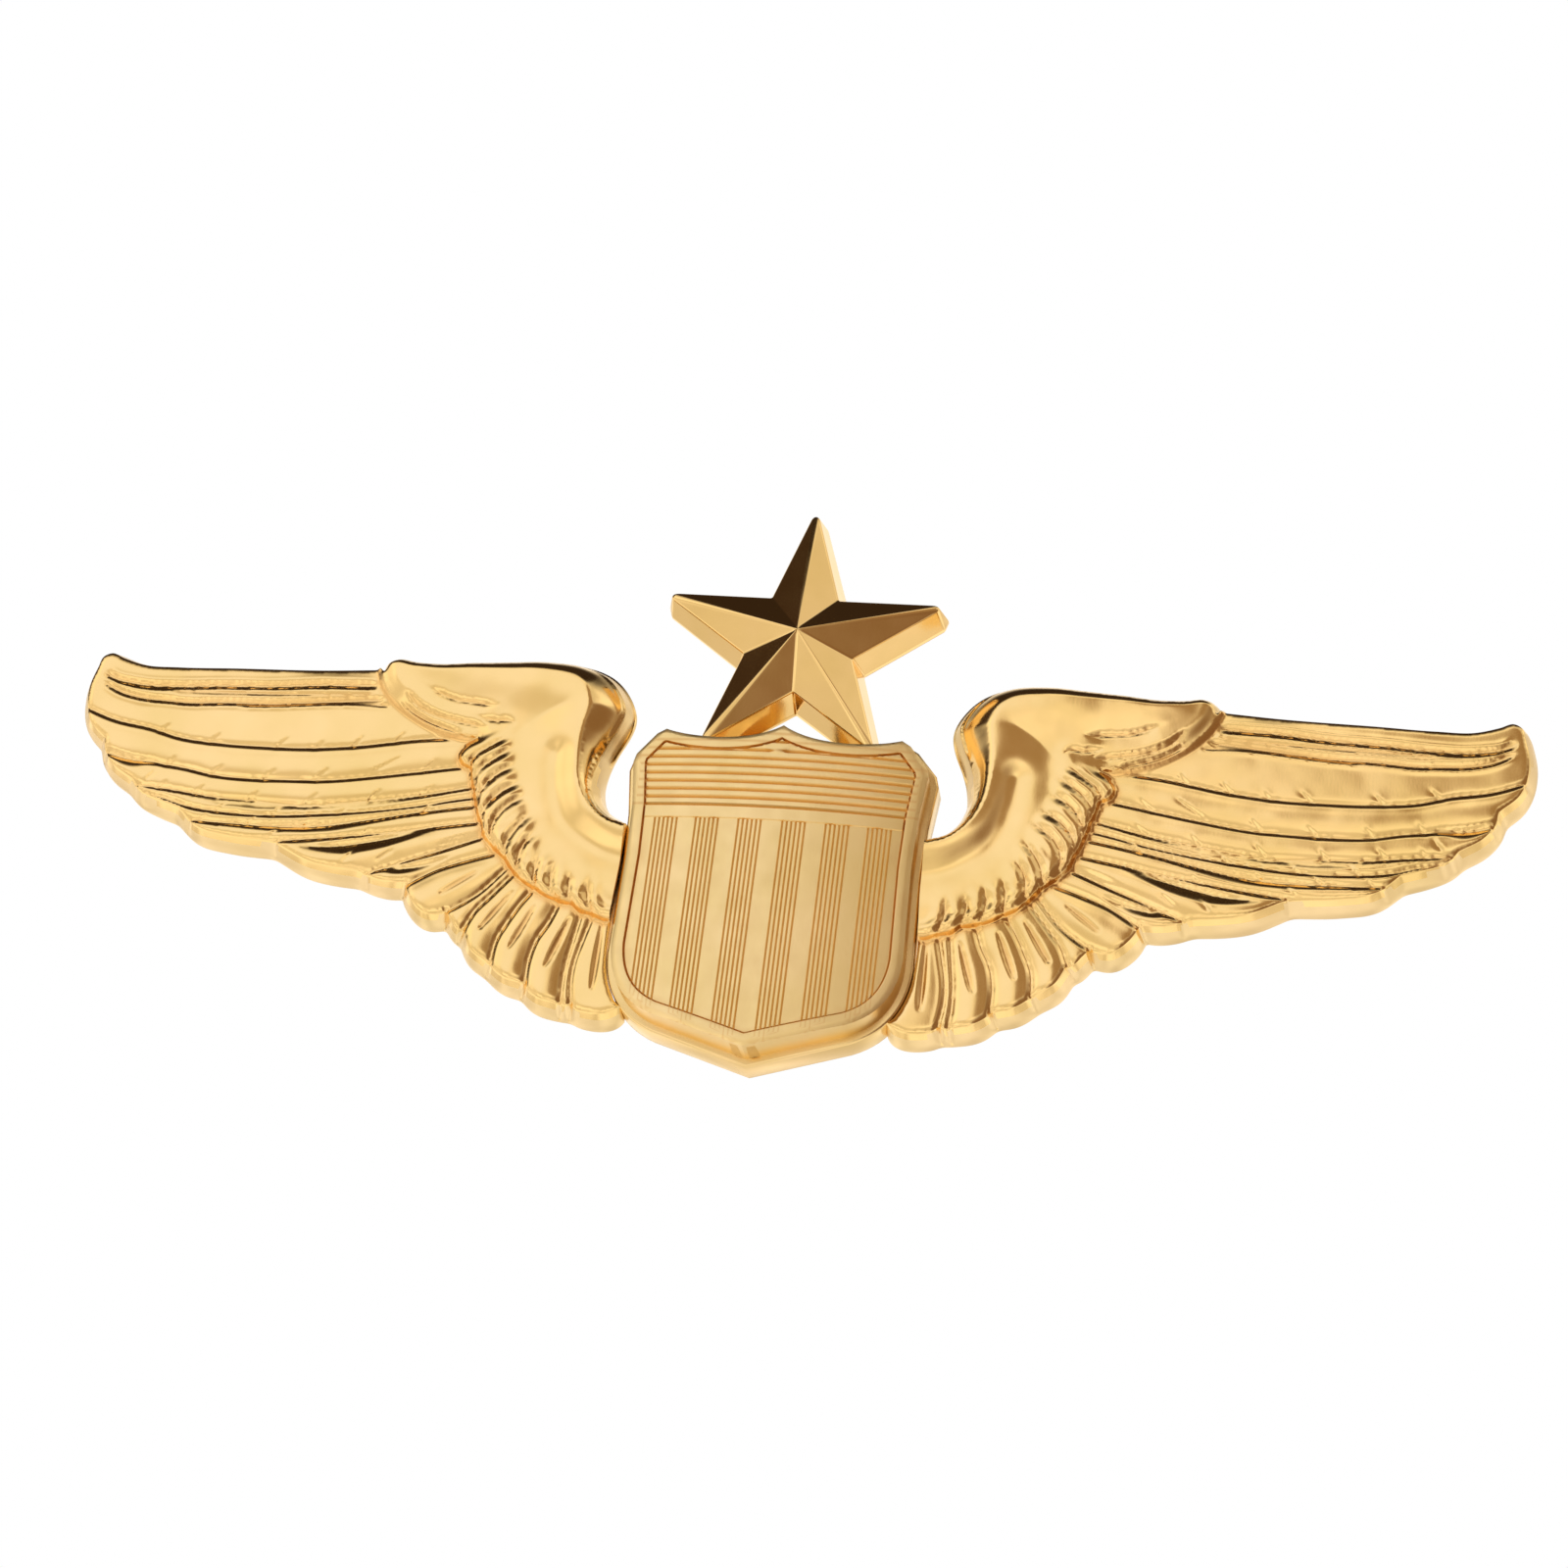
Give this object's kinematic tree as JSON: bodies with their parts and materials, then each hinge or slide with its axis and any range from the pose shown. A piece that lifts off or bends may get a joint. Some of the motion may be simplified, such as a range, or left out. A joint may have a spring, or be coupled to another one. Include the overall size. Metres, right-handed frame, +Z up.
{
  "type": "pilot wings pin",
  "caption": "Gilt pilot wings pin: feathered wings either side of a striped shield with a faceted star above, fastened through cloth by pin posts and butterfly clutches.",
  "frame": {"origin": "centre of the shield's flat back, in the plane of the badge's back", "axes": "+X along the span, to the right as seen from the front; +Y out of the back, along the pin posts; +Z up as worn; the front faces -Y"},
  "size_m": [0.0764, 0.0127, 0.0321],
  "materials": {
    "polished_gilt": "bright polished gold plate on die-struck brass",
    "satin_gilt": "fine satin gold plate",
    "plain_brass": "turned brass with gold flash",
    "clutch_brass": "stamped brass, tumbled bright",
    "spring_brass": "spring-temper brass strip, tumbled bright"
  },
  "bodies": {
    "badge": {"wing_left": "polished_gilt", "wing_right": "polished_gilt", "star": "polished_gilt", "shield_base": "polished_gilt", "shield_face": "satin_gilt", "shield_peg_upper": "plain_brass", "shield_peg_lower": "plain_brass", "post_left": "plain_brass", "post_centre": "plain_brass", "post_right": "plain_brass"},
    "clutch_left": {"cup_left": "clutch_brass", "spring_seat_left": "spring_brass"},
    "wide_ear_left": {"ear_wide_left": "spring_brass"},
    "narrow_ear_left": {"ear_narrow_left": "spring_brass"},
    "clutch_centre": {"cup_centre": "clutch_brass", "spring_seat_centre": "spring_brass"},
    "wide_ear_centre": {"ear_wide_centre": "spring_brass"},
    "narrow_ear_centre": {"ear_narrow_centre": "spring_brass"},
    "clutch_right": {"cup_right": "clutch_brass", "spring_seat_right": "spring_brass"},
    "wide_ear_right": {"ear_wide_right": "spring_brass"},
    "narrow_ear_right": {"ear_narrow_right": "spring_brass"}
  },
  "joints": [
    {"name": "slide_left", "type": "slide", "parent": "badge", "child": "clutch_left", "axis": [0, 1, 0], "range_m": [-0.0016, 0.008]},
    {"name": "pinch_wide_left", "type": "hinge", "parent": "clutch_left", "child": "wide_ear_left", "pos_m": [-0.0243, 0.00285, 0.008], "axis": [0, 0, 1], "range_deg": [0, 12], "stiffness_Nm_per_rad": 0.06},
    {"name": "pinch_narrow_left", "type": "hinge", "parent": "clutch_left", "child": "narrow_ear_left", "pos_m": [-0.0177, 0.00285, 0.008], "axis": [0, 0, -1], "range_deg": [0, 12], "stiffness_Nm_per_rad": 0.06},
    {"name": "slide_centre", "type": "slide", "parent": "badge", "child": "clutch_centre", "axis": [0, 1, 0], "range_m": [-0.0016, 0.008]},
    {"name": "pinch_wide_centre", "type": "hinge", "parent": "clutch_centre", "child": "wide_ear_centre", "pos_m": [-0.0033, 0.00285, 0.00304], "axis": [0, 0, 1], "range_deg": [0, 12], "stiffness_Nm_per_rad": 0.06},
    {"name": "pinch_narrow_centre", "type": "hinge", "parent": "clutch_centre", "child": "narrow_ear_centre", "pos_m": [0.0033, 0.00285, 0.00304], "axis": [0, 0, -1], "range_deg": [0, 12], "stiffness_Nm_per_rad": 0.06},
    {"name": "slide_right", "type": "slide", "parent": "badge", "child": "clutch_right", "axis": [0, 1, 0], "range_m": [-0.0016, 0.008]},
    {"name": "pinch_wide_right", "type": "hinge", "parent": "clutch_right", "child": "wide_ear_right", "pos_m": [0.0177, 0.00285, 0.008], "axis": [0, 0, 1], "range_deg": [0, 12], "stiffness_Nm_per_rad": 0.06},
    {"name": "pinch_narrow_right", "type": "hinge", "parent": "clutch_right", "child": "narrow_ear_right", "pos_m": [0.0243, 0.00285, 0.008], "axis": [0, 0, -1], "range_deg": [0, 12], "stiffness_Nm_per_rad": 0.06}
  ],
  "couplings": [
    {"joint": "pinch_narrow_left", "follows": "pinch_wide_left", "ratio": 1},
    {"joint": "pinch_narrow_centre", "follows": "pinch_wide_centre", "ratio": 1},
    {"joint": "pinch_narrow_right", "follows": "pinch_wide_right", "ratio": 1}
  ]
}
